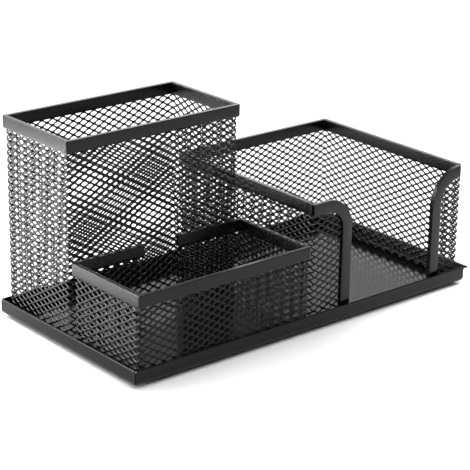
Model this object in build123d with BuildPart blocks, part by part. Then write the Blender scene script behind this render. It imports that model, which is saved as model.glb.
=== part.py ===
from build123d import *
import math
import os

os.makedirs("parts", exist_ok=True)

# Steel mesh desk organizer: a low tray with a pen cup, a short box and a memo box. Millimetres, +Z up.
# X runs to the right along the front, Y runs to the back, Z = 0 is the table.

# Base tray
TRAY_W = 205.0
TRAY_D = 105.5
TRAY_H = 7.7
TRAY_SHEET = 0.8
TRAY_CORNER_R = 1.6
TRAY_BEND_R = 0.6
LIP_OUT = 2.4
LIP_R = 1.5

# Pads under the tray
PAD_D = 9.0
PAD_H = 1.5
PAD_INSET = 11.0

# Mesh sheet and the channel folded over its edge
MESH_T = 1.0
CHANNEL_SHEET = 0.7
CHANNEL_H = 5.8
CHANNEL_CORNER_R = 1.5
CHANNEL_EDGE_R = 0.5
CELL_W = 9.0
CELL_H = 6.0
STRAND = 1.2
BORDER = 2.0

# Boxes: sizes over the rim, heights over the tray's underside
BOX_W = 99.0
CUP_H = 97.3
SHORT_D = 51.0
SHORT_H = 41.6
SHORT_GAP = 20.0
MEMO_W = 99.0
MEMO_H = 60.6
TRIM_R_LEFT = 15.0
TRIM_R_RIGHT = 18.0
TRIM_TOP_LEFT = 6.8
TRIM_TOP_RIGHT = 0.4

# Clearances
SIDE_MARGIN = 3.0
WALL_GAP = 0.5
STACK_GAP = 1.2
MEMO_SIDE_MARGIN = 1.5
MEMO_SETBACK = 2.6
MEMO_BACK_MARGIN = 1.9

# Derived positions
CHANNEL_T = MESH_T + 2 * CHANNEL_SHEET
IN = CHANNEL_SHEET
THROUGH = CHANNEL_SHEET + MESH_T
TRAY_X0 = -(TRAY_W + LIP_OUT) / 2
TRAY_X1 = TRAY_X0 + TRAY_W
TRAY_CX = (TRAY_X0 + TRAY_X1) / 2
TRAY_Y0 = -TRAY_D / 2
TRAY_Y1 = TRAY_D / 2
TRAY_Z0 = PAD_H
TRAY_Z1 = TRAY_Z0 + TRAY_H
FLOOR_Z = TRAY_Z0 + TRAY_SHEET
END_MARGIN = TRAY_SHEET + WALL_GAP - CHANNEL_SHEET

CUP_X0 = TRAY_X0 + SIDE_MARGIN
CUP_X1 = CUP_X0 + BOX_W
SHORT_Y0 = TRAY_Y0 + END_MARGIN
SHORT_Y1 = SHORT_Y0 + SHORT_D
CUP_Y0 = SHORT_Y1 + STACK_GAP
CUP_Y1 = TRAY_Y1 - END_MARGIN
MEMO_X1 = TRAY_X1 - MEMO_SIDE_MARGIN
MEMO_X0 = MEMO_X1 - MEMO_W
MEMO_Y0 = TRAY_Y0 + MEMO_SETBACK
MEMO_Y1 = TRAY_Y1 - MEMO_BACK_MARGIN
CUP_TOP = TRAY_Z0 + CUP_H
SHORT_TOP = TRAY_Z0 + SHORT_H
MEMO_TOP = TRAY_Z0 + MEMO_H
PANEL_LEFT = CHANNEL_T + TRIM_TOP_LEFT + TRIM_R_LEFT
PANEL_RIGHT = CHANNEL_T + TRIM_TOP_RIGHT + TRIM_R_RIGHT
GAP_X0 = (CUP_X0 + CUP_X1 - SHORT_GAP) / 2
GAP_X1 = (CUP_X0 + CUP_X1 + SHORT_GAP) / 2


def hole_centres(u0, u1, v0, v1):
    """Centres and half diagonals of the diamond holes that fill a window evenly."""
    columns = max(1, round((u1 - u0) / CELL_W))
    rows = max(1, round((v1 - v0) / CELL_H))
    du = (u1 - u0) / columns
    dv = (v1 - v0) / rows
    spots = [(u0 + (i + 0.5) * du, v0 + (j + 0.5) * dv) for i in range(columns) for j in range(rows)]
    spots += [(u0 + i * du, v0 + j * dv) for i in range(1, columns) for j in range(1, rows)]
    shrink = 1 - STRAND * math.hypot(du, dv) / (du * dv)
    return spots, shrink * du / 2, shrink * dv / 2


def cut_holes(u0, u1, v0, v1, keep=lambda u, v: True):
    """Cut the diamond holes of a window out of the sketch that is being drawn."""
    spots, half_u, half_v = hole_centres(u0, u1, v0, v1)
    inside = [
        (u, v)
        for u, v in spots
        if all(keep(u + a * half_u, v + b * half_v) for a, b in ((1, 0), (-1, 0), (0, 1), (0, -1)))
    ]
    with Locations(*inside):
        Polygon((half_u, 0), (0, half_v), (-half_u, 0), (0, -half_v), mode=Mode.SUBTRACT)


def mesh_wall(name, plane, u0, u1, top):
    """A flat holed wall that stands on the tray floor and ends inside the channel."""
    wall_top = top - CHANNEL_SHEET
    with BuildPart() as wall:
        with BuildSketch(plane):
            with Locations(((u0 + u1) / 2, (FLOOR_Z + wall_top) / 2)):
                Rectangle(u1 - u0, wall_top - FLOOR_Z)
            cut_holes(u0 + BORDER, u1 - BORDER, FLOOR_Z + BORDER, top - CHANNEL_H)
        extrude(amount=MESH_T)
    wall.part.label = name
    export_step(wall.part, f"parts/{name}.step")


def facing_front(y, thickness):
    """Drawing plane of a wall along X whose front face ends up at y."""
    return Plane(origin=(0, y + thickness, 0), x_dir=(1, 0, 0), z_dir=(0, -1, 0))


def facing_side(x):
    """Drawing plane of a wall along Y whose left face is at x."""
    return Plane(origin=(x, 0, 0), x_dir=(0, 1, 0), z_dir=(1, 0, 0))


def channel_rim(name, x0, x1, y0, y1, top, openings):
    """A channel bent into a ring over the mesh edge, cut through where the ring is open."""
    middle = ((x0 + x1) / 2, (y0 + y1) / 2)
    with BuildPart() as rim:
        with BuildSketch(Plane.XY.offset(top - CHANNEL_H)):
            with Locations(middle):
                RectangleRounded(x1 - x0, y1 - y0, CHANNEL_CORNER_R)
                Rectangle(x1 - x0 - 2 * CHANNEL_T, y1 - y0 - 2 * CHANNEL_T, mode=Mode.SUBTRACT)
        extrude(amount=CHANNEL_H)
        fillet(rim.edges().group_by(Axis.Z)[-1], CHANNEL_EDGE_R)
        with BuildSketch(Plane.XY.offset(top - CHANNEL_H)):
            with Locations(middle):
                Rectangle(x1 - x0 - 2 * CHANNEL_SHEET, y1 - y0 - 2 * CHANNEL_SHEET)
                Rectangle(x1 - x0 - 2 * THROUGH, y1 - y0 - 2 * THROUGH, mode=Mode.SUBTRACT)
        extrude(amount=CHANNEL_H - CHANNEL_SHEET, mode=Mode.SUBTRACT)
        for gap_x0, gap_x1, gap_y in openings:
            with Locations(((gap_x0 + gap_x1) / 2, gap_y, top - CHANNEL_H / 2)):
                Box(gap_x1 - gap_x0, 2 * CHANNEL_T, 2 * CHANNEL_H, mode=Mode.SUBTRACT)
    rim.part.label = name
    export_step(rim.part, f"parts/{name}.step")


def panel_face(sketch, side_x, width, radius, way, inset):
    """Draw a front panel from the rim's inner side, with its free top corner rounded."""
    start = side_x + way * CHANNEL_T
    end = side_x + way * (width - inset)
    top = MEMO_TOP - inset
    with Locations(((start + end) / 2, (FLOOR_Z + top) / 2)):
        Rectangle(abs(end - start), top - FLOOR_Z)
    fillet(sketch.vertices().sort_by_distance((end, top, 0))[0], radius - inset)


def front_panel(mesh_name, trim_name, side_x, width, radius, way):
    """One front panel of the memo box and the channel trim bent over its free edge."""
    mesh_end = side_x + way * (width - CHANNEL_H)
    bend_top = MEMO_TOP - CHANNEL_H
    bend = radius - CHANNEL_H

    def clear_of_trim(u, v):
        over = way * (u - (mesh_end - way * bend))
        rise = v - (bend_top - bend)
        return over <= 0 or rise <= 0 or math.hypot(over, rise) <= bend

    u0, u1 = sorted((side_x + way * (CHANNEL_T + BORDER), mesh_end))
    with BuildPart() as mesh:
        with BuildSketch(facing_front(MEMO_Y0 + IN, MESH_T)) as sheet:
            panel_face(sheet, side_x, width, radius, way, CHANNEL_SHEET)
            cut_holes(u0, u1, FLOOR_Z + BORDER, bend_top, clear_of_trim)
        extrude(amount=MESH_T)
    mesh.part.label = mesh_name
    export_step(mesh.part, f"parts/{mesh_name}.step")

    with BuildPart() as trim:
        with BuildSketch(facing_front(MEMO_Y0, CHANNEL_T)) as outer:
            panel_face(outer, side_x, width, radius, way, 0)
        extrude(amount=CHANNEL_T)
        with BuildSketch(facing_front(MEMO_Y0, CHANNEL_T)) as window:
            panel_face(window, side_x, width, radius, way, CHANNEL_H)
        extrude(amount=CHANNEL_T, mode=Mode.SUBTRACT)
        with BuildSketch(facing_front(MEMO_Y0 + IN, MESH_T)) as slot:
            panel_face(slot, side_x, width, radius, way, CHANNEL_SHEET)
        extrude(amount=MESH_T, mode=Mode.SUBTRACT)
    trim.part.label = trim_name
    export_step(trim.part, f"parts/{trim_name}.step")


# Base tray: a pan with four upright walls and an outward lip along the right wall
with BuildPart() as base_tray:
    with BuildSketch(Plane.XY.offset(TRAY_Z0)):
        with Locations((TRAY_CX, 0)):
            RectangleRounded(TRAY_W, TRAY_D, TRAY_CORNER_R)
    extrude(amount=TRAY_H)
    fillet(base_tray.edges().group_by(Axis.Z)[0], TRAY_BEND_R)
    with BuildSketch(Plane.XY.offset(FLOOR_Z)):
        with Locations((TRAY_CX, 0)):
            RectangleRounded(TRAY_W - 2 * TRAY_SHEET, TRAY_D - 2 * TRAY_SHEET, TRAY_CORNER_R - TRAY_SHEET)
    extrude(amount=TRAY_H, mode=Mode.SUBTRACT)
    lip_plane = Plane(origin=(TRAY_X1, TRAY_Y1 - TRAY_CORNER_R, TRAY_Z1), x_dir=(1, 0, 0), z_dir=(0, -1, 0))
    with BuildSketch(lip_plane):
        with BuildLine():
            Polyline((-TRAY_SHEET / 2, 0), (LIP_OUT, 0), (LIP_OUT, -TRAY_SHEET), (LIP_R, -TRAY_SHEET))
            RadiusArc((LIP_R, -TRAY_SHEET), (0, -TRAY_SHEET - LIP_R), -LIP_R)
            Polyline((0, -TRAY_SHEET - LIP_R), (-TRAY_SHEET / 2, -TRAY_SHEET - LIP_R), (-TRAY_SHEET / 2, 0))
        make_face()
    extrude(amount=TRAY_D - 2 * TRAY_CORNER_R)
base_tray.part.label = "base_tray"
export_step(base_tray.part, "parts/base_tray.step")

# Pads under the four corners of the tray
PAD_X = TRAY_W / 2 - PAD_INSET
PAD_Y = TRAY_D / 2 - PAD_INSET
PAD_SPOTS = {
    "foot_pad_front_left": (TRAY_CX - PAD_X, -PAD_Y),
    "foot_pad_front_right": (TRAY_CX + PAD_X, -PAD_Y),
    "foot_pad_back_left": (TRAY_CX - PAD_X, PAD_Y),
    "foot_pad_back_right": (TRAY_CX + PAD_X, PAD_Y),
}
for pad_name, (pad_x, pad_y) in PAD_SPOTS.items():
    with BuildPart() as pad:
        with Locations((pad_x, pad_y, PAD_H / 2)):
            Cylinder(PAD_D / 2, PAD_H)
    pad.part.label = pad_name
    export_step(pad.part, f"parts/{pad_name}.step")

# Pen cup: four mesh walls and a closed rim
mesh_wall("pen_cup_front_mesh", facing_front(CUP_Y0 + IN, MESH_T), CUP_X0 + IN, CUP_X1 - IN, CUP_TOP)
mesh_wall("pen_cup_back_mesh", facing_front(CUP_Y1 - THROUGH, MESH_T), CUP_X0 + IN, CUP_X1 - IN, CUP_TOP)
mesh_wall("pen_cup_left_mesh", facing_side(CUP_X0 + IN), CUP_Y0 + THROUGH, CUP_Y1 - THROUGH, CUP_TOP)
mesh_wall("pen_cup_right_mesh", facing_side(CUP_X1 - THROUGH), CUP_Y0 + THROUGH, CUP_Y1 - THROUGH, CUP_TOP)
channel_rim("pen_cup_rim", CUP_X0, CUP_X1, CUP_Y0, CUP_Y1, CUP_TOP, [])

# Short box: front and side walls, two returns at the back, and a rim with a gap in its back side
SHORT_IN_Y0 = SHORT_Y0 + THROUGH
SHORT_IN_Y1 = SHORT_Y1 - THROUGH
mesh_wall("small_box_front_mesh", facing_front(SHORT_Y0 + IN, MESH_T), CUP_X0 + IN, CUP_X1 - IN, SHORT_TOP)
mesh_wall("small_box_left_mesh", facing_side(CUP_X0 + IN), SHORT_IN_Y0, SHORT_IN_Y1, SHORT_TOP)
mesh_wall("small_box_right_mesh", facing_side(CUP_X1 - THROUGH), SHORT_IN_Y0, SHORT_IN_Y1, SHORT_TOP)
mesh_wall("small_box_back_left_mesh", facing_front(SHORT_IN_Y1, MESH_T), CUP_X0 + IN, GAP_X0, SHORT_TOP)
mesh_wall("small_box_back_right_mesh", facing_front(SHORT_IN_Y1, MESH_T), GAP_X1, CUP_X1 - IN, SHORT_TOP)
SHORT_OPEN = [(GAP_X0, GAP_X1, SHORT_Y1 - CHANNEL_T / 2)]
channel_rim("small_box_rim", CUP_X0, CUP_X1, SHORT_Y0, SHORT_Y1, SHORT_TOP, SHORT_OPEN)

# Memo box: side and back walls, and a rim that stops at the front corners
mesh_wall("memo_box_left_mesh", facing_side(MEMO_X0 + IN), MEMO_Y0 + IN, MEMO_Y1 - THROUGH, MEMO_TOP)
mesh_wall("memo_box_back_mesh", facing_front(MEMO_Y1 - THROUGH, MESH_T), MEMO_X0 + IN, MEMO_X1 - IN, MEMO_TOP)
mesh_wall("memo_box_right_mesh", facing_side(MEMO_X1 - THROUGH), MEMO_Y0 + IN, MEMO_Y1 - THROUGH, MEMO_TOP)
MEMO_OPEN = [(MEMO_X0 + CHANNEL_T, MEMO_X1 - CHANNEL_T, MEMO_Y0 + CHANNEL_T / 2)]
channel_rim("memo_box_rim", MEMO_X0, MEMO_X1, MEMO_Y0, MEMO_Y1, MEMO_TOP, MEMO_OPEN)

# Memo box front: two narrow panels with trims, and an open middle
front_panel("memo_box_front_left_mesh", "memo_box_front_left_trim", MEMO_X0, PANEL_LEFT, TRIM_R_LEFT, 1)
front_panel("memo_box_front_right_mesh", "memo_box_front_right_trim", MEMO_X1, PANEL_RIGHT, TRIM_R_RIGHT, -1)
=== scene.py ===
"""Dressed model of a black steel desk organizer: a tray that carries three boxes of expanded mesh."""
import logging
import math
from dataclasses import dataclass, field
from enum import Enum

import bpy
import numpy as np
from mathutils import Matrix, Vector


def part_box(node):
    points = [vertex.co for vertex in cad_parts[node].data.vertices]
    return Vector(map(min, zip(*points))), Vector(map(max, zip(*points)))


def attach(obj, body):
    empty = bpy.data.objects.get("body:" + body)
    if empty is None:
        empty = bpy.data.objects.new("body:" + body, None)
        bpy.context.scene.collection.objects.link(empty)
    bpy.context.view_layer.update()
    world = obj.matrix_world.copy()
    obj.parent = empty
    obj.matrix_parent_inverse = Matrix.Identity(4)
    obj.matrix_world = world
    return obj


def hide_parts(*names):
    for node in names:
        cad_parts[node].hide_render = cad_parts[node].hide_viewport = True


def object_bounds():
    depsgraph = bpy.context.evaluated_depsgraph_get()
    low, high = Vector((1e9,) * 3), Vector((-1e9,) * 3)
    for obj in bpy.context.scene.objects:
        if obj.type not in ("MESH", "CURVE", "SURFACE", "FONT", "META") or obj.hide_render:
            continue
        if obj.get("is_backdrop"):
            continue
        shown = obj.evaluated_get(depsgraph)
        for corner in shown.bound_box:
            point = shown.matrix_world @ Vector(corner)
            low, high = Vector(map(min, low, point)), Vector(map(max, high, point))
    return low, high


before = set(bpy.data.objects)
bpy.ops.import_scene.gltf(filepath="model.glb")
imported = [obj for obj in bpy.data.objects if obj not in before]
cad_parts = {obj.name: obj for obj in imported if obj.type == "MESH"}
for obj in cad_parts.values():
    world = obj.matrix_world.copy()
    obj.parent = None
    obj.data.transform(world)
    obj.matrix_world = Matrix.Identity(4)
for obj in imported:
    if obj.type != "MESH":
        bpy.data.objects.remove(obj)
CAD_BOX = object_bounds()

MM = 0.001
BODY = "root"
WEAR = "wear"
WHITE = (1.0, 1.0, 1.0, 1.0)
DIAGONAL = math.sqrt(0.5)
# Step between the codes of two neighbouring columns of a lattice
CODE_STEP = 10**6

log = logging.getLogger("desk_organizer")

Pair = tuple[float, float]
Triple = tuple[float, float, float]
Socket = bpy.types.NodeSocket


class Slot(Enum):
    """Material slots of the record that the pieces take their finish from."""

    TRAY = "tray_paint"
    MESH = "mesh_paint"
    CHANNEL = "channel_paint"
    PAD = "pad_rubber"


def ramp(value: np.ndarray, low: float, high: float) -> np.ndarray:
    """Smooth step from 0 at low to 1 at high: 3t squared less 2t cubed.

    Args:
        value: Numbers to place on the step.
        low: Where the step starts.
        high: Where it ends.

    Returns:
        Numbers from 0 to 1.
    """
    share = np.clip((value - low) / (high - low), 0.0, 1.0)
    return share * share * (3.0 - 2.0 * share)


# Node trees

class NodeSheet:
    """Short calls that lay out the nodes of one tree."""

    def __init__(self, tree: bpy.types.NodeTree) -> None:
        """Empty the tree and keep it."""
        self.tree = tree
        tree.nodes.clear()

    def add(self, kind: str, settings: dict | None = None, values: dict | None = None) -> bpy.types.Node:
        """Add a node.

        Args:
            kind: Blender's name of the node type.
            settings: Properties of the node itself.
            values: Numbers set straight on input sockets, by name or number.

        Returns:
            The new node.
        """
        node = self.tree.nodes.new(kind)
        for key, value in (settings or {}).items():
            setattr(node, key, value)
        for key, value in (values or {}).items():
            node.inputs[key].default_value = value
        return node

    def link(self, source: Socket, target: Socket) -> None:
        """Join an output socket to an input socket."""
        self.tree.links.new(source, target)

    def noise(self, place: Socket, scale: float, detail: float) -> Socket:
        """Noise over a coordinate socket.

        Args:
            place: Socket that gives the coordinates.
            scale: Repeats per metre.
            detail: Octaves of finer noise.

        Returns:
            The noise value's socket.
        """
        node = self.add("ShaderNodeTexNoise", values={"Scale": scale, "Detail": detail})
        self.link(place, node.inputs["Vector"])
        return node.outputs["Fac"]

    def spread(self, value: Socket, start: Pair, end: Pair) -> Socket:
        """Map a number from one range to another.

        Args:
            value: Socket that gives the number.
            start: Range that it comes in.
            end: Range that it leaves in.

        Returns:
            The mapped number's socket.
        """
        limits = {"From Min": start[0], "From Max": start[1], "To Min": end[0], "To Max": end[1]}
        node = self.add("ShaderNodeMapRange", values=limits)
        self.link(value, node.inputs["Value"])
        return node.outputs["Result"]

    def math(self, operation: str, first: Socket, second: Socket) -> Socket:
        """Combine two numbers.

        Args:
            operation: Name of the operation.
            first: Socket of the first number.
            second: Socket of the second number.

        Returns:
            The result's socket, kept between 0 and 1.
        """
        node = self.add("ShaderNodeMath", {"operation": operation, "use_clamp": True})
        self.link(first, node.inputs[0])
        self.link(second, node.inputs[1])
        return node.outputs["Value"]

    def tint(self, share: Socket, low: Triple, high: Triple) -> Socket:
        """Colour between two ends.

        Args:
            share: Socket that goes from 0 to 1.
            low: Colour at 0.
            high: Colour at 1.

        Returns:
            The colour's socket.
        """
        node = self.add("ShaderNodeValToRGB")
        node.color_ramp.elements[0].color = (*low, 1.0)
        node.color_ramp.elements[1].color = (*high, 1.0)
        self.link(share, node.inputs["Fac"])
        return node.outputs["Color"]

    def bump(self, height: Socket, strength: float, distance: float, under: Socket | None = None) -> Socket:
        """Raise a surface by a height.

        Args:
            height: Socket of the height.
            strength: Share of the effect.
            distance: Height in metres that a value of 1 stands for.
            under: Normal that this bump is laid over.

        Returns:
            The new normal's socket.
        """
        node = self.add("ShaderNodeBump", values={"Strength": strength, "Distance": distance})
        self.link(height, node.inputs["Height"])
        if under is not None:
            self.link(under, node.inputs["Normal"])
        return node.outputs["Normal"]

    def seen_ray(self) -> Socket:
        """Tell rays of the camera, of gloss and of clear pieces from bounced light.

        Returns:
            Socket that is 1 for the first three and 0 for bounced light.
        """
        rays = self.add("ShaderNodeLightPath").outputs
        seen = self.math("ADD", rays["Is Camera Ray"], rays["Is Glossy Ray"])
        return self.math("ADD", seen, rays["Is Transmission Ray"])

    def matt(self, level: float) -> Socket:
        """Matt grey of one level, as a shader socket."""
        return self.add("ShaderNodeBsdfDiffuse", values={"Color": (level, level, level, 1.0)}).outputs["BSDF"]

    def glow(self, strength: Socket) -> Socket:
        """White surroundings.

        Args:
            strength: Socket of their strength.

        Returns:
            The shader's socket.
        """
        node = self.add("ShaderNodeBackground", values={"Color": WHITE})
        self.link(strength, node.inputs["Strength"])
        return node.outputs["Background"]

    def mixed(self, share: Socket, low: Socket, high: Socket) -> Socket:
        """Shader between two others.

        Args:
            share: Socket that goes from 0 to 1.
            low: Shader at 0.
            high: Shader at 1.

        Returns:
            The mixed shader's socket.
        """
        node = self.add("ShaderNodeMixShader")
        self.link(share, node.inputs["Fac"])
        self.link(low, node.inputs[1])
        self.link(high, node.inputs[2])
        return node.outputs["Shader"]

    def show(self, shader: Socket, output: str = "ShaderNodeOutputMaterial") -> None:
        """Send a shader to an output node."""
        self.link(shader, self.add(output).inputs["Surface"])


def new_material(name: str) -> tuple[bpy.types.Material, NodeSheet]:
    """Start a node material.

    Args:
        name: Name of the material.

    Returns:
        The material, and the sheet that its nodes go on.
    """
    made = bpy.data.materials.new(name)
    made.use_nodes = True
    return made, NodeSheet(made.node_tree)


# Finishes

@dataclass(frozen=True)
class PowderCoat:
    """Baked black powder paint on steel: a fine orange peel over a slow ripple, duller where it is rubbed.

    Scales are repeats per metre. A band is the range of a noise that is spread over a share or a roughness.
    """

    name: str
    colour: Triple = (0.002, 0.002, 0.0021)
    rubbed: Triple = (0.012, 0.012, 0.0124)
    roughness: Pair = (0.20, 0.28)
    gloss: float = 0.43
    ior: float = 1.5
    peel_scale: float = 900.0
    peel_strength: float = 0.10
    peel_height: float = 0.05 * MM
    ripple_scale: float = 70.0
    ripple_strength: float = 0.35
    ripple_height: float = 0.10 * MM
    cloud_scale: float = 45.0
    scuff_scale: float = 405.0
    tone_band: Pair = (0.35, 0.70)
    dull_band: Pair = (0.30, 0.70)
    scuff_share: Pair = (0.15, 1.0)
    cloud_share: Pair = (0.0, 0.22)
    rub_dulls: Pair = (0.0, 0.06)

    def material(self) -> bpy.types.Material:
        """Build the paint's node material.

        Returns:
            The material.
        """
        made, sheet = new_material(self.name)
        place = sheet.add("ShaderNodeTexCoord").outputs["Object"]
        cloud = sheet.noise(place, self.cloud_scale, detail=4.0)
        scuff = sheet.noise(place, self.scuff_scale, detail=3.0)
        edge = sheet.add("ShaderNodeAttribute", {"attribute_name": WEAR}).outputs["Fac"]
        rub = sheet.math("MULTIPLY", edge, sheet.spread(scuff, self.tone_band, self.scuff_share))
        tone = sheet.math("ADD", rub, sheet.spread(cloud, self.tone_band, self.cloud_share))
        dull = sheet.math("ADD", sheet.spread(scuff, self.dull_band, self.roughness),
                          sheet.spread(rub, (0.0, 1.0), self.rub_dulls))
        ripple = sheet.noise(place, self.ripple_scale, detail=1.0)
        peel = sheet.noise(place, self.peel_scale, detail=2.0)
        normal = sheet.bump(ripple, self.ripple_strength, self.ripple_height)
        normal = sheet.bump(peel, self.peel_strength, self.peel_height, normal)
        paint = sheet.add("ShaderNodeBsdfPrincipled",
                          values={"IOR": self.ior, "Specular IOR Level": self.gloss})
        sheet.link(sheet.tint(tone, self.colour, self.rubbed), paint.inputs["Base Color"])
        sheet.link(dull, paint.inputs["Roughness"])
        sheet.link(normal, paint.inputs["Normal"])
        sheet.show(paint.outputs["BSDF"])
        return made


@dataclass(frozen=True)
class PadRubber:
    """Matt black moulded rubber with a fine pebbled skin and a little dust."""

    name: str = "pad_rubber_finish"
    colour: Triple = (0.014, 0.014, 0.014)
    dusty: Triple = (0.034, 0.033, 0.032)
    roughness: Pair = (0.72, 0.88)
    ior: float = 1.45
    dust_scale: float = 320.0
    tone_band: Pair = (0.4, 0.7)
    dull_band: Pair = (0.3, 0.7)
    pebble_scale: float = 1600.0
    pebble_strength: float = 0.4
    pebble_height: float = 0.05 * MM

    def material(self) -> bpy.types.Material:
        """Build the rubber's node material.

        Returns:
            The material.
        """
        made, sheet = new_material(self.name)
        place = sheet.add("ShaderNodeTexCoord").outputs["Object"]
        dust = sheet.noise(place, self.dust_scale, detail=4.0)
        pebble = sheet.noise(place, self.pebble_scale, detail=2.0)
        tone = sheet.spread(dust, self.tone_band, (0.0, 1.0))
        rubber = sheet.add("ShaderNodeBsdfPrincipled", values={"IOR": self.ior})
        sheet.link(sheet.tint(tone, self.colour, self.dusty), rubber.inputs["Base Color"])
        sheet.link(sheet.spread(dust, self.dull_band, self.roughness), rubber.inputs["Roughness"])
        sheet.link(sheet.bump(pebble, self.pebble_strength, self.pebble_height), rubber.inputs["Normal"])
        sheet.show(rubber.outputs["BSDF"])
        return made


class Paintshop:
    """Makes each finish once and hands it out."""

    def __init__(self) -> None:
        """Start with the finishes of this organizer."""
        self.finishes: dict[Slot, PowderCoat | PadRubber] = {
            Slot.TRAY: PowderCoat("tray_paint_finish", roughness=(0.12, 0.17), gloss=0.36,
                                  peel_strength=0.02, ripple_height=0.03 * MM),
            Slot.MESH: PowderCoat("mesh_paint_finish", roughness=(0.12, 0.18), gloss=0.38,
                                  peel_scale=1500.0, peel_strength=0.04),
            Slot.CHANNEL: PowderCoat("channel_paint_finish"),
            Slot.PAD: PadRubber(),
        }
        self.made: dict[Slot, bpy.types.Material] = {}

    def material(self, slot: Slot) -> bpy.types.Material:
        """Hand out a slot's material, which is built the first time that it is asked for.

        Args:
            slot: The slot.

        Returns:
            Its material.
        """
        if slot not in self.made:
            self.made[slot] = self.finishes[slot].material()
        return self.made[slot]


# Surfaces

@dataclass
class Shell:
    """Points and faces of one piece, gathered before they go into a mesh.

    Points are in metres in the object's frame. Quads are rows of four point numbers, and caps are flat faces
    of many sides. Wear is a number for each point, 1 where the paint is rubbed most. The faces numbered in
    square keep a flat shade.
    """

    points: np.ndarray
    quads: np.ndarray
    caps: list[np.ndarray] = field(default_factory=list)
    wear: np.ndarray | None = None
    square: np.ndarray | None = None

    def volume(self) -> float:
        """Volume that the faces enclose, from the triple products of the fans of triangles in every face.

        Returns:
            Cubic metres, negative where the faces point inwards.
        """
        fans = [self.quads[:, [0, 1, 2]], self.quads[:, [0, 2, 3]]]
        fans += [np.stack((np.full(len(cap) - 2, cap[0]), cap[1:-1], cap[2:]), axis=1) for cap in self.caps]
        corners = self.points[np.concatenate(fans)]
        return float(np.einsum("ij,ij->", corners[:, 0], np.cross(corners[:, 1], corners[:, 2])) / 6.0)

    def piece(self, name: str, slot: Slot, shop: Paintshop, node: str, crease: float = 38.0) -> None:
        """Turn the shell into a dressed object that rides on the organizer.

        Args:
            name: Name of the piece.
            slot: Material slot that it is painted from.
            shop: Where the finish comes from.
            node: Solid piece that it stands for.
            crease: Angle in degrees past which an edge stays sharp.
        """
        turn = slice(None, None, -1 if self.volume() < 0.0 else 1)
        faces = self.quads[:, turn].tolist() + [cap[turn].tolist() for cap in self.caps]
        mesh = bpy.data.meshes.new(name)
        mesh.from_pydata(self.points.tolist(), [], faces)
        smooth = np.ones(len(faces), dtype=bool)
        smooth[len(self.quads):] = False
        if self.square is not None:
            smooth[self.square] = False
        mesh.polygons.foreach_set("use_smooth", smooth)
        mesh.set_sharp_from_angle(angle=math.radians(crease))
        rubbed = mesh.attributes.new(WEAR, "FLOAT", "POINT")
        rubbed.data.foreach_set("value", np.zeros(len(self.points)) if self.wear is None else self.wear)
        mesh.materials.append(shop.material(slot))
        mesh.update()
        made = bpy.data.objects.new(name, mesh)
        bpy.context.scene.collection.objects.link(made)
        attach(made, BODY)
        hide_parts(node)
        log.info("%s: %d points, %d faces", name, len(self.points), len(faces))


def sheet_of_quads(rows: int, columns: int, around_rows: bool, around_columns: bool) -> np.ndarray:
    """Quads of a grid of points numbered row by row.

    Args:
        rows: Rows of the grid.
        columns: Points in each row.
        around_rows: Whether the last row joins the first.
        around_columns: Whether the last column joins the first.

    Returns:
        Point numbers, four to a quad.
    """
    numbers = np.arange(rows * columns).reshape(rows, columns)
    if around_rows:
        numbers = np.vstack((numbers, numbers[:1]))
    if around_columns:
        numbers = np.hstack((numbers, numbers[:, :1]))
    corners = (numbers[:-1, :-1], numbers[1:, :-1], numbers[1:, 1:], numbers[:-1, 1:])
    return np.stack([corner.ravel() for corner in corners], axis=1)


def left_normals(corners: np.ndarray) -> np.ndarray:
    """Left normals of the runs between corners, each run's heading turned a quarter turn.

    Args:
        corners: Corners of a line in a plane, taken as closed.

    Returns:
        A unit normal for the run that starts at each corner.
    """
    heading = np.roll(corners, -1, axis=0) - corners
    heading /= np.linalg.norm(heading, axis=1, keepdims=True)
    return np.stack((-heading[:, 1], heading[:, 0]), axis=1)


@dataclass(frozen=True)
class BentLine:
    """A line in a plane that turns square corners to the left, so that its work lies on its left.

    Corners are where the straight runs meet before they are rounded. An open line starts and ends at its
    first and last corner.
    """

    corners: tuple[Pair, ...]
    radii: tuple[float, ...]
    closed: bool
    bend_steps: int = 8
    run_steps: int = 12
    least: float = 0.08 * MM

    def carry(self, inset: np.ndarray) -> np.ndarray:
        """Carry points at given insets along the line.

        On a run a point lies its inset to the left of the line. In a bend it goes round an arc whose radius
        is the bend's radius less the inset, about a centre that lies on both runs' normals. The straight
        runs are divided with a quintic step, closer near the bends.

        Args:
            inset: Distance to the left of the line, one for each point of the section.

        Returns:
            Places in the plane: stations by section points by two.
        """
        spots = np.array(self.corners)
        left = left_normals(spots)
        turn = np.linspace(0.0, math.pi / 2.0, self.bend_steps)[:, None, None]
        depth = inset[None, :, None]
        groups = []
        for number in range(len(spots)):
            if not self.closed and number in (0, len(spots) - 1):
                run = left[0] if number == 0 else left[-2]
                groups.append(spots[number] + depth * run)
                continue
            bend = np.maximum(self.radii[number] - depth, self.least)
            inwards = left[number - 1] + left[number]
            arc = np.cos(turn) * left[number - 1] + np.sin(turn) * left[number]
            groups.append(spots[number] + (depth + bend) * inwards - bend * arc)
        share = np.linspace(0.0, 1.0, self.run_steps + 1)[1:-1]
        share = (share**3 * (10.0 - 15.0 * share + 6.0 * share**2))[:, None, None]
        rows = []
        for number, group in enumerate(groups):
            rows.append(group)
            if self.closed or number < len(groups) - 1:
                after = groups[(number + 1) % len(groups)]
                rows.append(group[-1:] * (1.0 - share) + after[:1] * share)
        return np.concatenate(rows)


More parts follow.
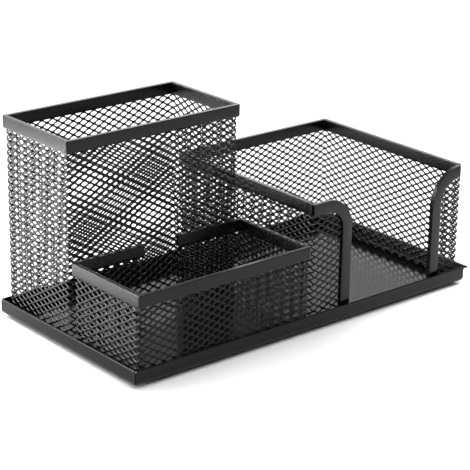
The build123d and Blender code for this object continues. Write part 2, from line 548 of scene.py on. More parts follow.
@dataclass(frozen=True)
class FoldedChannel:
    """Steel strip folded over a mesh edge, seen in section.

    Each point of the section has an inset, from the outer face inwards, and a drop, from the crown down. The
    two shoulders are quarter circles, the crown between them dips as half a sine wave, and the foot of each
    leg is pinched towards the mesh along a parabola.
    """

    thick: float = 2.4 * MM
    depth: float = 5.8 * MM
    strip: float = 0.5 * MM
    shoulder: float = 0.35 * MM
    dip: float = 0.03 * MM
    pinch: float = 0.16 * MM
    pinch_run: float = 1.0 * MM
    bend: float = 1.5 * MM
    end_round: float = 0.2 * MM
    foot_wear: float = 0.7
    arc_steps: int = 7
    crown_steps: int = 5
    pinch_steps: int = 4

    def section(self) -> tuple[np.ndarray, np.ndarray, np.ndarray]:
        """Closed outline of the section.

        Wear follows the sine of twice the angle round each shoulder, and the fourth power of the way down
        each pinched foot.

        Returns:
            Inset, drop and wear of each point in order.
        """
        turn = np.linspace(0.0, math.pi / 2.0, self.arc_steps)
        across = np.linspace(0.0, 1.0, self.crown_steps + 2)[1:-1]
        foot = np.linspace(0.0, 1.0, self.pinch_steps + 1)
        flat = self.thick - 2.0 * self.shoulder
        outer_in = self.shoulder * (1.0 - np.cos(turn))
        outer_drop = self.shoulder * (1.0 - np.sin(turn))
        leg_in = self.pinch * foot**2
        leg_drop = self.depth - self.pinch_run * (1.0 - foot)
        slot_in = np.array([self.strip + self.pinch, self.strip])
        slot_drop = np.array([self.depth, self.depth - self.pinch_run])
        roof = np.array([self.strip])
        inset = np.concatenate((
            outer_in, self.shoulder + flat * across, self.thick - outer_in[::-1], self.thick - leg_in,
            self.thick - slot_in, self.thick - roof, roof, slot_in[::-1], leg_in[::-1],
        ))
        drop = np.concatenate((
            outer_drop, self.dip * np.sin(math.pi * across), outer_drop[::-1], leg_drop,
            slot_drop, roof, roof, slot_drop[::-1], leg_drop[::-1],
        ))
        leg_wear = self.foot_wear * foot**4
        rubbed = np.concatenate((
            np.sin(2.0 * turn), np.zeros(across.size), np.sin(2.0 * turn), leg_wear,
            np.zeros(2 * (slot_in.size + roof.size)), leg_wear[::-1],
        ))
        return inset, drop, rubbed

    def eased(self, line: BentLine, stations: int) -> np.ndarray:
        """How far the section is drawn in at each station, so that the cut ends are rounded over.

        At a distance d under the radius r from an open end it is r less the root of r squared less (r - d)
        squared, a quarter circle, and it is nothing further along.

        Args:
            line: The outer edge.
            stations: Number of stations on it.

        Returns:
            One distance for each station.
        """
        if line.closed:
            return np.zeros(stations)
        edge = line.carry(np.zeros(1))[:, 0]
        gone = np.concatenate(([0.0], np.cumsum(np.linalg.norm(np.diff(edge, axis=0), axis=1))))
        short = self.end_round - np.minimum(np.minimum(gone, gone[-1] - gone), self.end_round)
        return self.end_round - np.sqrt(self.end_round**2 - short**2)

    def swept(self, line: BentLine, top: float | None = None, front: float | None = None) -> Shell:
        """Carry the section along a line, lying flat round a box or standing in a front panel.

        Near a cut end its points are drawn in from both faces and the crown.

        Args:
            line: The outer edge, in plan for a rim and in front view for a panel's trim.
            top: Height of the crown, for a rim.
            front: Depth of the outer face, for a trim.

        Returns:
            The channel's shell.
        """
        inset, drop, rubbed = self.section()
        across = inset if top is not None else drop
        grid = line.carry(across)
        stations, size = grid.shape[:2]
        ease = self.eased(line, stations)[:, None]
        drawn_inset = np.clip(inset, ease, self.thick - ease)
        drawn_drop = np.maximum(drop, ease)
        drawn_across = drawn_inset if top is not None else drawn_drop
        inwards = line.carry(np.full(1, self.thick)) - line.carry(np.zeros(1))
        grid = grid + inwards / self.thick * (drawn_across - across)[..., None]
        if top is not None:
            points = np.dstack((grid, top - drawn_drop))
        else:
            points = np.dstack((grid[..., 0], front + drawn_inset, grid[..., 1]))
        quads = sheet_of_quads(stations, size, line.closed, True)
        first = np.arange(size)
        caps = [] if line.closed else [first, (first + (stations - 1) * size)[::-1]]
        return Shell(points.reshape(-1, 3), quads, caps, np.tile(rubbed, stations))


@dataclass(frozen=True)
class WallLine:
    """Middle line of a mesh wall seen from above, run anticlockwise, with every corner bent to one radius."""

    corners: tuple[Pair, ...]
    closed: bool
    bend: float = 2.0 * MM

    def stretches(self) -> tuple[np.ndarray, np.ndarray, np.ndarray, np.ndarray, np.ndarray]:
        """Straight and bent stretches in order.

        A run loses the bend's radius at each bent end. A bend is a quarter circle about a centre that lies
        the radius in from both of its runs.

        Returns:
            Start length of each stretch with the whole length at the end, whether it bends, its origin, and
            the two directions that place a point on it.
        """
        spots = np.array(self.corners)
        left = left_normals(spots)
        heading = np.stack((left[:, 1], -left[:, 0]), axis=1)
        span = np.linalg.norm(np.roll(spots, -1, axis=0) - spots, axis=1)
        last = len(spots) if self.closed else len(spots) - 1
        lengths, bends, origins, first, second = [], [], [], [], []
        for run in range(last):
            starts_bent = self.closed or run > 0
            ends_bent = self.closed or run < last - 1
            lengths.append(span[run] - self.bend * (starts_bent + ends_bent))
            bends.append(False)
            origins.append(spots[run] + heading[run] * self.bend * starts_bent)
            first.append(heading[run])
            second.append(left[run])
            if ends_bent:
                after = (run + 1) % len(spots)
                lengths.append(self.bend * math.pi / 2.0)
                bends.append(True)
                origins.append(spots[after] + self.bend * (left[run] + left[after]))
                first.append(left[run])
                second.append(left[after])
        starts = np.concatenate(([0.0], np.cumsum(lengths)))
        return starts, np.array(bends), np.array(origins), np.array(first), np.array(second)

    def length(self) -> float:
        """Length of the line."""
        return float(self.stretches()[0][-1])

    def bend_middles(self) -> np.ndarray:
        """Lengths along the line at which its bends are half turned."""
        starts, bends = self.stretches()[:2]
        return ((starts[:-1] + starts[1:]) / 2.0)[bends]

    def place(self, along: np.ndarray, height: np.ndarray, out: np.ndarray) -> np.ndarray:
        """Put points of an unrolled wall in their places.

        A point on a run lies on a straight line, and one in a bend on an arc about the bend's centre. It then
        moves out along the wall's own normal.

        Args:
            along: Length along the line.
            height: Height over the table.
            out: Distance outwards from the middle of the sheet.

        Returns:
            Points in the object's frame.
        """
        starts, bends, origins, first, second = self.stretches()
        along = np.mod(along, starts[-1]) if self.closed else np.clip(along, 0.0, starts[-1])
        number = np.clip(np.searchsorted(starts, along, side="right") - 1, 0, len(bends) - 1)
        gone = along - starts[number]
        angle = (gone / self.bend)[:, None]
        inwards = np.where(bends[number][:, None],
                           np.cos(angle) * first[number] + np.sin(angle) * second[number], second[number])
        spot = np.where(bends[number][:, None], origins[number] - self.bend * inwards,
                        origins[number] + gone[:, None] * first[number])
        return np.column_stack((spot - out[:, None] * inwards, height))


@dataclass(frozen=True)
class ExpandedMesh:
    """Sheet of expanded steel: diamond holes in staggered rows, with round strands that thicken at the knots.

    The sheet is unrolled on a lattice of diamonds. A diamond's edge runs along the middle of its strands, its
    hole is a superellipse inside it, and between the two the strand's surface falls from half the thickness
    to the middle of the sheet, on both faces. The points round a diamond are whole numbers of thirds of a
    half diagonal, so neighbours share them. On a closed strip the pattern can start a little along the line.
    """

    start: float = 0.0
    long_way: float = 5.95 * MM
    short_way: float = 3.40 * MM
    strand: float = 0.77 * MM
    thick: float = 0.66 * MM
    knot: float = 0.14 * MM
    roundness: float = 1.25
    shoulder_share: float = 0.60
    shoulder_height: float = 0.84
    crease: float = 80.0
    thirds: int = 3

    def ring(self) -> tuple[np.ndarray, np.ndarray]:
        """Points round one diamond from its right corner, anticlockwise, with each side divided in thirds.

        Returns:
            Whole-number steps across and up to each point, and its share t of the way along its side.
        """
        step = np.arange(self.thirds)
        back = self.thirds - step
        across = np.concatenate((back, -step, -back, step))
        up = np.concatenate((step, back, -step, -back))
        return np.stack((across, up), axis=1), np.tile(step / self.thirds, 4)

    def hole_scale(self, half_across: float, half_up: float, share: np.ndarray) -> np.ndarray:
        """How far the hole's edge lies from the diamond's middle, as a share of the diamond's own edge.

        A superellipse of power p meets the direction at share t of a side at k times ((1-t)^p + t^p)^(-1/p).
        The factor k leaves the strand its width at the middle of a side.

        Args:
            half_across: Half of the diamond's width.
            half_up: Half of its height.
            share: Share t for each direction.

        Returns:
            Scale for each direction.
        """
        reach = half_across * half_up / math.hypot(half_across, half_up)
        factor = (1.0 - 0.5 * self.strand / reach) / 2.0 ** (1.0 - 1.0 / self.roundness)
        power = self.roundness
        return factor * ((1.0 - share) ** power + share**power) ** (-1.0 / power)

    def lattice(self, line: WallLine, low: float, high: float) -> tuple[np.ndarray, float, float]:
        """Diamonds that fill a wall from its foot to its head, fitted to whole numbers.

        Args:
            line: Middle line of the wall.
            low: Height of the lowest tips.
            high: Height of the highest tips.

        Returns:
            Whole-number places of the diamonds' middles in half diagonals, and the two half diagonals.
        """
        columns = round(line.length() / self.long_way)
        rows = round((high - low) / (self.short_way / 2.0)) - 1
        across, up = np.meshgrid(np.arange(2 * columns), np.arange(1, rows + 1), indexing="ij")
        keep = (across + up) % 2 == 0
        if not line.closed:
            keep &= across > 0
        cells = np.stack((across[keep], up[keep]), axis=1)
        return cells, line.length() / (2.0 * columns), (high - low) / (rows + 1)

    def wall(self, line: WallLine, low: float, cells: np.ndarray,
             half_across: float, half_up: float) -> Shell:
        """Surface of the diamonds given, closed where they have no neighbour.

        Five rings go round each diamond: its edge and the strand's waist on the outer face, the hole's edge
        midway, and the waist and the edge on the inner face. Quads join each ring to the next.

        Args:
            line: Middle line of the wall.
            low: Height of the lowest tips.
            cells: Whole-number places of the diamonds' middles.
            half_across: Half of a diamond's width.
            half_up: Half of its height.

        Returns:
            The wall's shell.
        """
        steps, share = self.ring()
        count, around = len(cells), len(steps)
        period = round(line.length() / half_across) * self.thirds if line.closed else CODE_STEP
        keys = cells[:, None, :] * self.thirds + steps
        codes = np.mod(keys[..., 0], period) * CODE_STEP + keys[..., 1]
        knots, seat = np.unique(codes.ravel(), return_inverse=True)
        rim = seat.reshape(count, around)
        rim_across, rim_up = knots // CODE_STEP, knots % CODE_STEP
        at_knot = (rim_across % self.thirds == 0) & (rim_up % self.thirds == 0)
        rim_height = self.thick / 2.0 + np.where(at_knot, self.knot, 0.0)

        hole = self.hole_scale(half_across, half_up, share)
        waist = 1.0 - self.shoulder_share * (1.0 - hole)
        waist_height = self.shoulder_height * (self.thick / 2.0 + self.knot * (share == 0.0))
        middle = cells[:, None, :]
        waist_at = (middle + waist[:, None] * steps / self.thirds).reshape(-1, 2)
        hole_at = (middle + hole[:, None] * steps / self.thirds).reshape(-1, 2)
        rim_at = np.stack((rim_across, rim_up), axis=1) / self.thirds
        waist_out = np.tile(waist_height, count)
        flat = np.concatenate((rim_at, rim_at, waist_at, waist_at, hole_at))
        out = np.concatenate((rim_height, -rim_height, waist_out, -waist_out, np.zeros(count * around)))
        points = line.place(self.start + flat[:, 0] * half_across, low + flat[:, 1] * half_up, out)

        own = np.arange(count * around).reshape(count, around)
        base = 2 * len(knots)
        rings = [rim, base + own, base + 2 * own.size + own, base + own.size + own, rim + len(knots)]
        bands = []
        for outer, inner in zip(rings[:-1], rings[1:]):
            ahead_outer, ahead_inner = np.roll(outer, -1, axis=1), np.roll(inner, -1, axis=1)
            bands.append(np.stack((outer, ahead_outer, ahead_inner, inner), axis=2).reshape(-1, 4))
        seams = self.seams(cells, rim, len(knots), period // self.thirds)
        quads = np.concatenate((*bands, seams))
        square = np.arange(len(quads) - len(seams), len(quads))
        return Shell(points, quads, square=square)

    def seams(self, cells: np.ndarray, rim: np.ndarray, behind: int, period: int) -> np.ndarray:
        """Narrow quads that join the two faces along sides that have no neighbour.

        Args:
            cells: Whole-number places of the diamonds' middles.
            rim: Point numbers round each diamond on the outer face.
            behind: Step from a point on the outer face to the one behind it.
            period: Half diagonals round a closed wall.

        Returns:
            Point numbers, four to a quad.
        """
        steps = np.array(((1, 1), (-1, 1), (-1, -1), (1, -1)))
        codes = np.mod(cells[:, 0], period) * CODE_STEP + cells[:, 1]
        beside = cells[:, None, :] + steps
        bare = ~np.isin(np.mod(beside[..., 0], period) * CODE_STEP + beside[..., 1], codes)
        ahead = np.roll(rim, -1, axis=1)
        open_edge = np.repeat(bare, self.thirds, axis=1)
        start, end = rim[open_edge], ahead[open_edge]
        return np.stack((end, start, start + behind, end + behind), axis=1)


# The organizer's sub-assemblies

@dataclass(frozen=True)
class Plan:
    """A box's outer faces in plan with its foot and crown, in metres."""

    left: float
    right: float
    front: float
    back: float
    foot: float
    crown: float

    @staticmethod
    def of_rim(rim: str, tray_floor: float) -> "Plan":
        """Plan of the box under a rim, from the rim's own box in the frame."""
        low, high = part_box(rim)
        return Plan(low.x, high.x, low.y, high.y, tray_floor, high.z)

    def shrunk(self, inset: float) -> "Plan":
        """The same plan with its four faces moved in."""
        return Plan(self.left + inset, self.right - inset, self.front + inset, self.back - inset,
                    self.foot, self.crown)

    def ring(self) -> tuple[Pair, ...]:
        """Corners anticlockwise from the front left."""
        return ((self.left, self.front), (self.right, self.front),
                (self.right, self.back), (self.left, self.back))


@dataclass
class MeshBox:
    """One box: a strip of expanded mesh wrapped round its corners, and the channel over the strip's edge.

    The walls are named in the order of the strip, with {} in their common name for the side that each is on.
    """

    plan: Plan
    sides: tuple[str, ...]
    wall_name: str
    rim: str
    channel: FoldedChannel = field(default_factory=FoldedChannel)
    mesh: ExpandedMesh = field(default_factory=ExpandedMesh)
    slot_room: float = 1.0 * MM

    def wall_line(self) -> WallLine:
        """Middle line of the mesh, closed round the box."""
        return WallLine(self.plan.shrunk(self.channel.thick / 2.0).ring(), True)

    def rim_line(self) -> BentLine:
        """Outer edge of the channel, closed round the box."""
        return BentLine(self.plan.ring(), (self.channel.bend,) * 4, True)

    def kept(self, wall: int, middles: np.ndarray) -> np.ndarray:
        """Which diamonds of a wall are there: all of them, unless a box says otherwise."""
        return np.ones(len(middles), dtype=bool)

    def build_mesh(self, shop: Paintshop) -> None:
        """Make one piece for each mesh wall, divided where the strip is half way round a corner.

        Args:
            shop: Where the finishes come from.
        """
        line = self.wall_line()
        foot = self.plan.foot
        cells, half_across, half_up = self.mesh.lattice(line, foot, self.plan.crown - self.slot_room)
        along = np.mod(self.mesh.start + cells[:, 0] * half_across, line.length())
        wall_of = np.searchsorted(line.bend_middles(), along) % len(self.sides)
        middles = line.place(along, foot + cells[:, 1] * half_up, np.zeros(len(cells)))
        for number, side in enumerate(self.sides):
            mine = wall_of == number
            mine[mine] = self.kept(number, middles[mine])
            shell = self.mesh.wall(line, foot, cells[mine], half_across, half_up)
            node = self.wall_name.format(side)
            shell.piece(node.replace("_mesh", "_expanded_mesh"), Slot.MESH, shop, node, self.mesh.crease)

    def build_rim(self, shop: Paintshop) -> None:
        """Make the folded channel over the mesh edge."""
        shell = self.channel.swept(self.rim_line(), top=self.plan.crown)
        shell.piece(self.rim + "_channel", Slot.CHANNEL, shop, self.rim)

    def build(self, shop: Paintshop) -> None:
        """Make all of the box's pieces."""
        self.build_mesh(shop)
        self.build_rim(shop)


@dataclass
class SmallBox(MeshBox):
    """The low box in front, whose back is open in the middle."""

    def gap(self) -> Pair:
        """Left and right edge of the opening in the back, from the two back walls."""
        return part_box("small_box_back_left_mesh")[1].x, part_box("small_box_back_right_mesh")[0].x

    def open_ring(self, plan: Plan) -> tuple[Pair, ...]:
        """Corners anticlockwise from the left edge of the opening to its right edge.

        Args:
            plan: Plan that the corners lie on.

        Returns:
            The six corners.
        """
        left, right = self.gap()
        front_left, front_right, back_right, back_left = plan.ring()
        return (left, plan.back), back_left, front_left, front_right, back_right, (right, plan.back)

    def wall_line(self) -> WallLine:
        """Middle line of the mesh from one side of the opening to the other."""
        return WallLine(self.open_ring(self.plan.shrunk(self.channel.thick / 2.0)), False)

    def rim_line(self) -> BentLine:
        """Outer edge of the channel from one side of the opening to the other."""
        corners = self.open_ring(self.plan)
        return BentLine(corners, (self.channel.bend,) * len(corners), False)


@dataclass
class MemoBox(MeshBox):
    """The note box: open in front between two narrow panels whose free edges have rounded trims."""

    left_trim: str = "memo_box_front_left_trim"
    right_trim: str = "memo_box_front_right_trim"
    left_round: float = 15.0 * MM
    right_round: float = 18.0 * MM
    round_steps: int = 20
    mesh_bend: float = 1.0 * MM
    seam: float = 0.12 * MM
    cover: float = 3.6 * MM
    edge_room: float = 1.0 * MM

    def free_edges(self) -> Pair:
        """Where the left panel ends and the right panel starts, from the trims."""
        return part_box(self.left_trim)[1].x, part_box(self.right_trim)[0].x

    def wall_line(self) -> WallLine:
        """Middle line of the mesh from the right panel's free edge round the back to the left panel's.

        Returns:
            The line.
        """
        plan = self.plan.shrunk(self.channel.thick / 2.0)
        left_end, right_start = self.free_edges()
        front_left, front_right, back_right, back_left = plan.ring()
        start, end = (right_start + self.edge_room, plan.front), (left_end - self.edge_room, plan.front)
        return WallLine((start, front_right, back_right, back_left, front_left, end), False, self.mesh_bend)

    def rim_line(self) -> BentLine:
        """Outer edge of the channel, which is cut square behind the trims at both front corners.

        Returns:
            The line.
        """
        back_right, back_left = self.plan.ring()[2:]
        behind = self.plan.front + self.channel.thick + self.seam
        corners = ((self.plan.right, behind), back_right, back_left, (self.plan.left, behind))
        return BentLine(corners, (self.channel.bend,) * len(corners), False)

    def kept(self, wall: int, middles: np.ndarray) -> np.ndarray:
        """Which diamonds of a wall are there: on a front panel, those inside the trim's rounded outline.

        A diamond stays if its middle is clear of the free edge and the crown by the trim's cover, and inside
        the arc of the rounded corner drawn in by as much.

        Args:
            wall: Number of the wall.
            middles: Middles of its diamonds.

        Returns:
            One truth value for each diamond.
        """
        left_end, right_start = self.free_edges()
        if wall == 0:
            from_edge, bend = middles[:, 0] - right_start, self.right_round
        elif wall == len(self.sides) - 1:
            from_edge, bend = left_end - middles[:, 0], self.left_round
        else:
            return super().kept(wall, middles)
        from_crown = self.plan.crown - middles[:, 2]
        in_bend = (from_edge < bend) & (from_crown < bend)
        inside_arc = np.hypot(bend - from_edge, bend - from_crown) < bend - self.cover
        return (from_edge > self.cover) & (from_crown > self.cover) & (~in_bend | inside_arc)

    def build_trims(self, shop: Paintshop) -> None:
        """Make the two trims, each up from the tray, round the free corner and along the top of its panel.

        The left one runs out to the box's corner. The right one ends where the mesh starts to bend.

        Args:
            shop: Where the finishes come from.
        """
        left_end, right_start = self.free_edges()
        plan = self.plan
        right_end = plan.right - self.channel.thick - self.seam
        left = ((left_end, plan.foot), (left_end, plan.crown), (plan.left, plan.crown))
        right = ((right_end, plan.crown), (right_start, plan.crown), (right_start, plan.foot))
        for node, corners, bend in ((self.left_trim, left, self.left_round),
                                    (self.right_trim, right, self.right_round)):
            line = BentLine(corners, (0.0, bend, 0.0), False, bend_steps=self.round_steps)
            shell = self.channel.swept(line, front=plan.front)
            shell.piece(node + "_channel", Slot.CHANNEL, shop, node)

    def build(self, shop: Paintshop) -> None:
        """Make all of the box's pieces."""
        super().build(shop)
        self.build_trims(shop)


@dataclass
class Tray:
    """The pressed pan that carries the boxes, with a lip flared out along its right wall.

    The lip's turn is in degrees. A flare and a notch grow over a share of a corner's radius and of the wall's
    height, and a hair is a distance too small to matter.
    """

    node: str = "base_tray"
    sheet: float = 0.8 * MM
    inner_bend: float = 0.5 * MM
    outer_bend: float = 2.4 * MM
    lip_out: float = 2.4 * MM
    lip_turn: float = 117.0
    floor_band: float = 6.0 * MM
    crisp_corner: float = 0.5 * MM
    round_corner: float = 1.0 * MM
    flare_share: float = 0.6
    seam_width: float = 0.16 * MM
    seam_depth: float = 0.30 * MM
    notch_width: float = 0.55 * MM
    notch_depth: float = 0.7 * MM
    notch_from: float = 0.75
    hair: float = 0.001 * MM
    corner_steps: int = 13
    run_steps: int = 36
    wall_steps: int = 8
    arc_steps: int = 6
    tip_steps: int = 9

    def sections(self, height: float) -> tuple[np.ndarray, np.ndarray, np.ndarray, np.ndarray, np.ndarray]:
        """Plain wall and flared wall, point for point, from the floor over the top to the underside.

        The plain wall is straight with a half-round top. The flared wall leaves it below the top, rolls
        outwards on two concentric arcs and ends in a half-round tip. A roll through an angle a that reaches
        out by l has an inner radius of l / (1 - cos a) less half the sheet. Wear follows the sine of the
        angle round the top, and of twice the angle round the lower bend.

        Args:
            height: Height of the wall over the tray's underside.

        Returns:
            Inset and height of the plain wall, inset and height of the flared wall, and wear.
        """
        quarter = np.linspace(0.0, math.pi / 2.0, self.arc_steps)
        up = np.linspace(0.0, 1.0, self.wall_steps)
        tip = np.linspace(0.0, math.pi, self.tip_steps)
        half = self.sheet / 2.0
        bent_floor = self.sheet + self.inner_bend * (1.0 - np.sin(quarter))
        bent_rise = self.sheet + self.inner_bend * (1.0 - np.cos(quarter))
        turn = math.radians(self.lip_turn)
        under = self.lip_out / (1.0 - math.cos(turn)) - half
        over = under + self.sheet
        bend_from = height - over
        plain_up = bend_from + (height - half - bend_from) * up
        arc = up * turn
        foot_in = self.outer_bend * (1.0 - np.cos(quarter))
        foot_up = self.outer_bend * (1.0 - np.sin(quarter))
        tip_in = -under + (under + half) * math.cos(turn) + half * np.cos(turn + tip)
        tip_up = bend_from + (under + half) * math.sin(turn) + half * np.sin(turn + tip)

        plain_in = np.concatenate((
            [self.floor_band], bent_floor, np.full(up.size, self.sheet),
            half + half * np.cos(tip), np.zeros(up.size), foot_in, [self.floor_band],
        ))
        plain_z = np.concatenate((
            [self.sheet], bent_rise, plain_up, height - half + half * np.sin(tip),
            plain_up[::-1], foot_up, [0.0],
        ))
        flare_in = np.concatenate((
            [self.floor_band], bent_floor, -under + over * np.cos(arc), tip_in,
            (-under + under * np.cos(arc))[::-1], foot_in, [self.floor_band],
        ))
        flare_z = np.concatenate((
            [self.sheet], bent_rise, bend_from + over * np.sin(arc), tip_up,
            (bend_from + under * np.sin(arc))[::-1], foot_up, [0.0],
        ))
        rubbed = np.concatenate((
            np.zeros(1 + quarter.size + up.size), np.sin(tip), np.zeros(up.size),
            np.sin(2.0 * quarter), [0.0],
        ))
        return plain_in, plain_z, flare_in, flare_z, rubbed

    def build(self, shop: Paintshop) -> None:
        """Make the tray.

        The section goes round the pan. In the two right corners it passes from the plain wall to the flared
        one by a smooth step. At the two left corners the folded walls meet in a seam: a groove of bell-curve
        section, with the top edge notched over it by a bell curve of the fourth power.

        Args:
            shop: Where the finish comes from.
        """
        low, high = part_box(self.node)
        right = high.x - self.lip_out
        corners = ((low.x, low.y), (right, low.y), (right, high.y), (low.x, high.y))
        radii = (self.crisp_corner, self.round_corner, self.round_corner, self.crisp_corner)
        line = BentLine(corners, radii, True, self.corner_steps, self.run_steps)
        plain_in, plain_z, flare_in, flare_z, rubbed = self.sections(high.z - low.z)
        plain, flare = line.carry(plain_in), line.carry(flare_in)

        edge = line.carry(np.zeros(1))[:, 0]
        reach = np.minimum(edge[:, 1] - low.y, high.y - edge[:, 1])
        on_right = edge[:, 0] > right - self.round_corner - self.hair
        flared = (on_right * ramp(reach, 0.0, self.flare_share * self.round_corner))[:, None]
        plan = plain + flared[..., None] * (flare - plain)
        rise = plain_z + flared * (flare_z - plain_z)

        cut = self.crisp_corner * (1.0 - DIAGONAL)
        meets = np.array(((low.x + cut, low.y + cut), (low.x + cut, high.y - cut)))
        away = np.linalg.norm(edge[:, None, :] - meets, axis=2).min(axis=1)
        groove = np.exp(-((away / self.seam_width) ** 2))[:, None]
        outside = np.arange(plain_in.size) > plain_in.size // 2
        centre = np.array(((low.x + right) / 2.0, (low.y + high.y) / 2.0))
        inwards = np.sign(centre - edge)[:, None, :] * DIAGONAL
        plan = plan + inwards * (groove * self.seam_depth * outside)[..., None]
        notch = np.exp(-((away / self.notch_width) ** 4))[:, None]
        rise = rise - notch * self.notch_depth * ramp(plain_z, self.notch_from * plain_z.max(), plain_z.max())

        points = np.dstack((plan, low.z + rise))
        stations, size = points.shape[:2]
        quads = sheet_of_quads(stations, size, True, False)
        first = np.arange(stations) * size
        caps = [first[::-1], first + size - 1]
        shell = Shell(points.reshape(-1, 3), quads, caps, np.tile(rubbed, stations))
        shell.piece("base_tray_pan", Slot.TRAY, shop, self.node)


@dataclass
class FootPads:
    """Round rubber pads under the tray's corners, each with a shallow dimple in its underside.

    The dimple's span and floor are shares of the pad's radius.
    """

    nodes: tuple[str, ...]
    dimple: float = 0.2 * MM
    dimple_span: Pair = (0.1, 0.55)
    dimple_floor: float = 0.25
    edge_round: float = 0.45 * MM
    head_in: float = 0.12 * MM
    head_drop: float = 0.15 * MM
    sides: int = 40
    dimple_steps: int = 5
    arc_steps: int = 6

    def outline(self, radius: float, height: float) -> tuple[np.ndarray, np.ndarray]:
        """Half section of a pad from its dimple round the edge to its head.

        The dimple is a smooth step, the lower edge a quarter circle and the upper edge a bevel.

        Args:
            radius: Radius of the pad.
            height: Its height.

        Returns:
            Distance from the axis and height over the underside, for each point.
        """
        quarter = np.linspace(0.0, math.pi / 2.0, self.arc_steps)
        hollow = np.linspace(*self.dimple_span, self.dimple_steps)
        out = np.concatenate((radius * hollow, radius - self.edge_round * (1.0 - np.sin(quarter)),
                              [radius, radius - self.head_in]))
        rise = np.concatenate((self.dimple * (1.0 - ramp(hollow, self.dimple_floor, self.dimple_span[1])),
                               self.edge_round * (1.0 - np.cos(quarter)),
                               [height - self.head_drop, height]))
        return out, rise

    def build(self, shop: Paintshop) -> None:
        """Make each pad by turning its outline about its own upright axis.

        Args:
            shop: Where the finish comes from.
        """
        angle = np.linspace(0.0, 2.0 * math.pi, self.sides, endpoint=False)[:, None]
        for node in self.nodes:
            low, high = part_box(node)
            out, rise = self.outline((high.x - low.x) / 2.0, high.z - low.z)
            points = np.dstack(((low.x + high.x) / 2.0 + out * np.cos(angle),
                                (low.y + high.y) / 2.0 + out * np.sin(angle),
                                np.broadcast_to(low.z + rise, (self.sides, out.size))))
            quads = sheet_of_quads(self.sides, out.size, True, False)
            first = np.arange(self.sides) * out.size
            shell = Shell(points.reshape(-1, 3), quads, [first[::-1], first + out.size - 1])
            shell.piece(node + "_moulding", Slot.PAD, shop, node)


# The studio

@dataclass(frozen=True)
class SoftLamp:
    """A flat soft lamp. Without an aim it faces the organizer, and its beam is in degrees."""

    name: str
    place: Triple
    width: float
    height: float
    watts: float
    aim: Triple = (0.0, 0.0, 0.05)
    beam: float = 180.0
    glint_only: bool = False

    def build(self) -> None:
        """Make the lamp, which shows in gloss alone where it is for glints."""
        light = bpy.data.lights.new(self.name, "AREA")
        light.shape = "RECTANGLE"
        light.size = self.width
        light.size_y = self.height
        light.energy = self.watts
        light.spread = math.radians(self.beam)
        lamp = bpy.data.objects.new(self.name, light)
        lamp.location = self.place
        lamp.rotation_euler = (Vector(self.aim) - Vector(self.place)).to_track_quat("-Z", "Y").to_euler()
        lamp.visible_camera = False
        lamp.visible_diffuse = not self.glint_only
        bpy.context.scene.collection.objects.link(lamp)


@dataclass(frozen=True)
class PhotoCamera:
    """Camera at the photograph's viewpoint, fitted to the organizer's corners. Angles are in degrees."""

    place: Triple = (-523.9 * MM, -614.9 * MM, 330.2 * MM)
    yaw: float = 40.201
    pitch: float = 20.188
    roll: float = 0.937
    focal_pixels: float = 1789.8
    frame_pixels: float = 470.0
    sensor: float = 36.0
    nearest: float = 10.0 * MM

    def build(self) -> None:
        """Make the camera and make it the scene's own.

        Yaw and pitch give its axis, and roll turns it about that axis. The lens is the sensor's width times
        the focal length in pixels over the frame's width in pixels.
        """
        yaw, pitch, roll = (math.radians(angle) for angle in (self.yaw, self.pitch, self.roll))
        ahead = Vector((math.sin(yaw) * math.cos(pitch), math.cos(yaw) * math.cos(pitch), -math.sin(pitch)))
        level = Vector((math.cos(yaw), -math.sin(yaw), 0.0))
        upright = level.cross(ahead)
        right = level * math.cos(roll) + upright * math.sin(roll)
        up = upright * math.cos(roll) - level * math.sin(roll)
        optics = bpy.data.cameras.new("photo_camera")
        optics.sensor_width = self.sensor
        optics.lens = self.focal_pixels / self.frame_pixels * self.sensor
        optics.clip_start = self.nearest
        camera = bpy.data.objects.new("photo_camera", optics)
        turn = Matrix((right, up, -ahead)).transposed()
        camera.matrix_world = Matrix.Translation(self.place) @ turn.to_4x4()
        bpy.context.scene.collection.objects.link(camera)
        bpy.context.scene.camera = camera


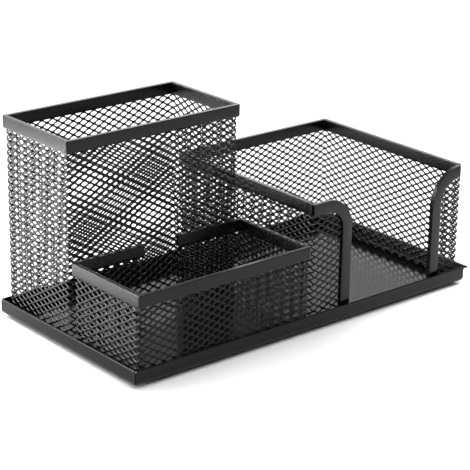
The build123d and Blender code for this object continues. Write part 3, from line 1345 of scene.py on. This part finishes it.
@dataclass
class Studio:
    """White table and background with soft lamps, and the camera.

    The table has a level for bounced light, for reflections and for the camera. The sky's heights and depths
    are the Z and Y of a direction, from -1 to 1, over which it passes from one level to another.
    """

    table_half: float = 4.0
    table_bounced: float = 0.85
    table_mirrored: float = 1.0
    table_direct: float = 1.6
    dim_heights: Pair = (0.40, 0.80)
    dim_levels: Pair = (1.0, 0.35)
    side_depths: Pair = (-0.4, 0.3)
    side_levels: Pair = (0.15, 1.0)
    light_heights: Pair = (0.45, 0.75)
    light_level: float = 1.2
    lamps: tuple[SoftLamp, ...] = (
        SoftLamp("left_softbox", (-0.36, 0.19, 0.26), 0.26, 0.40, 1.6, aim=(-0.34, 0.18, 0.0), beam=50.0),
        SoftLamp("front_right_softbox", (0.17, -0.10, 0.20), 0.12, 0.12, 0.06,
                 aim=(0.17, -0.10, 0.0), beam=70.0),
        SoftLamp("back_left_softbox", (-0.55, 0.50, 0.28), 0.9, 0.4, 1.5, aim=(-0.15, 0.12, 0.0)),
        SoftLamp("back_left_panel", (-0.70, 0.62, 0.10), 1.1, 0.18, 4.0),
        SoftLamp("back_right_panel", (0.75, 0.70, 0.45), 0.8, 0.5, 1.4),
        SoftLamp("left_glint", (-0.70, 0.30, 0.30), 0.50, 0.35, 14.5, glint_only=True),
        SoftLamp("front_glint", (0.07, -0.75, 0.58), 0.50, 0.40, 2.0, glint_only=True),
    )

    def build_table(self) -> None:
        """Make the white table: a level matt square that keeps a soft shadow.

        It is whiter in reflections than as a bounce, and whitest to the camera.
        """
        half = self.table_half
        corners = [(-half, -half, 0.0), (half, -half, 0.0), (half, half, 0.0), (-half, half, 0.0)]
        mesh = bpy.data.meshes.new("table")
        mesh.from_pydata(corners, [], [(0, 1, 2, 3)])
        paint, sheet = new_material("table_white")
        camera_ray = sheet.add("ShaderNodeLightPath").outputs["Is Camera Ray"]
        bounced, mirrored = sheet.matt(self.table_bounced), sheet.matt(self.table_mirrored)
        indirect = sheet.mixed(sheet.seen_ray(), bounced, mirrored)
        sheet.show(sheet.mixed(camera_ray, indirect, sheet.matt(self.table_direct)))
        mesh.materials.append(paint)
        table = bpy.data.objects.new("table", mesh)
        bpy.context.scene.collection.objects.link(table)
        table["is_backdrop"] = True

    def build_sky(self) -> None:
        """Make the surroundings.

        To the camera and in reflections they are white near the horizon, and dimmer overhead and on the
        camera's side. To bounced rays they give light from high up alone.
        """
        world = bpy.data.worlds.new("studio_sky")
        world.use_nodes = True
        sheet = NodeSheet(world.node_tree)
        heading = sheet.add("ShaderNodeSeparateXYZ")
        sheet.link(sheet.add("ShaderNodeTexCoord").outputs["Generated"], heading.inputs[0])
        overhead = sheet.spread(heading.outputs["Z"], self.dim_heights, self.dim_levels)
        behind = sheet.spread(heading.outputs["Y"], self.side_depths, self.side_levels)
        backdrop = sheet.glow(sheet.math("MULTIPLY", overhead, behind))
        light = sheet.glow(sheet.spread(heading.outputs["Z"], self.light_heights, (0.0, self.light_level)))
        sheet.show(sheet.mixed(sheet.seen_ray(), light, backdrop), "ShaderNodeOutputWorld")
        bpy.context.scene.world = world

    def build(self) -> None:
        """Make the whole studio."""
        self.build_table()
        self.build_sky()
        for lamp in self.lamps:
            lamp.build()
        PhotoCamera().build()
        bpy.context.scene.view_settings.view_transform = "Standard"


def write_sizes() -> None:
    """Gather the box of the solids and the box of the dressed model as plain lists."""
    boxes = {"cad": CAD_BOX, "visual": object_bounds()}
    plain = {name: [[float(number) for number in corner] for corner in box] for name, box in boxes.items()}


def main() -> None:
    """Build the organizer piece by piece, then the studio round it."""
    logging.basicConfig(level=logging.INFO, format="%(message)s")
    shop = Paintshop()
    tray = Tray()
    tray_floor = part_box(tray.node)[0].z + tray.sheet
    tray.build(shop)
    pads = tuple(f"foot_pad_{row}_{side}" for row in ("front", "back") for side in ("left", "right"))
    FootPads(pads).build(shop)
    MeshBox(Plan.of_rim("pen_cup_rim", tray_floor), ("front", "right", "back", "left"),
            "pen_cup_{}_mesh", "pen_cup_rim", mesh=ExpandedMesh(start=0.8 * MM)).build(shop)
    SmallBox(Plan.of_rim("small_box_rim", tray_floor), ("back_left", "left", "front", "right", "back_right"),
             "small_box_{}_mesh", "small_box_rim").build(shop)
    MemoBox(Plan.of_rim("memo_box_rim", tray_floor), ("front_right", "right", "back", "left", "front_left"),
            "memo_box_{}_mesh", "memo_box_rim").build(shop)
    Studio().build()
    write_sizes()


if __name__ == "__main__":
    main()
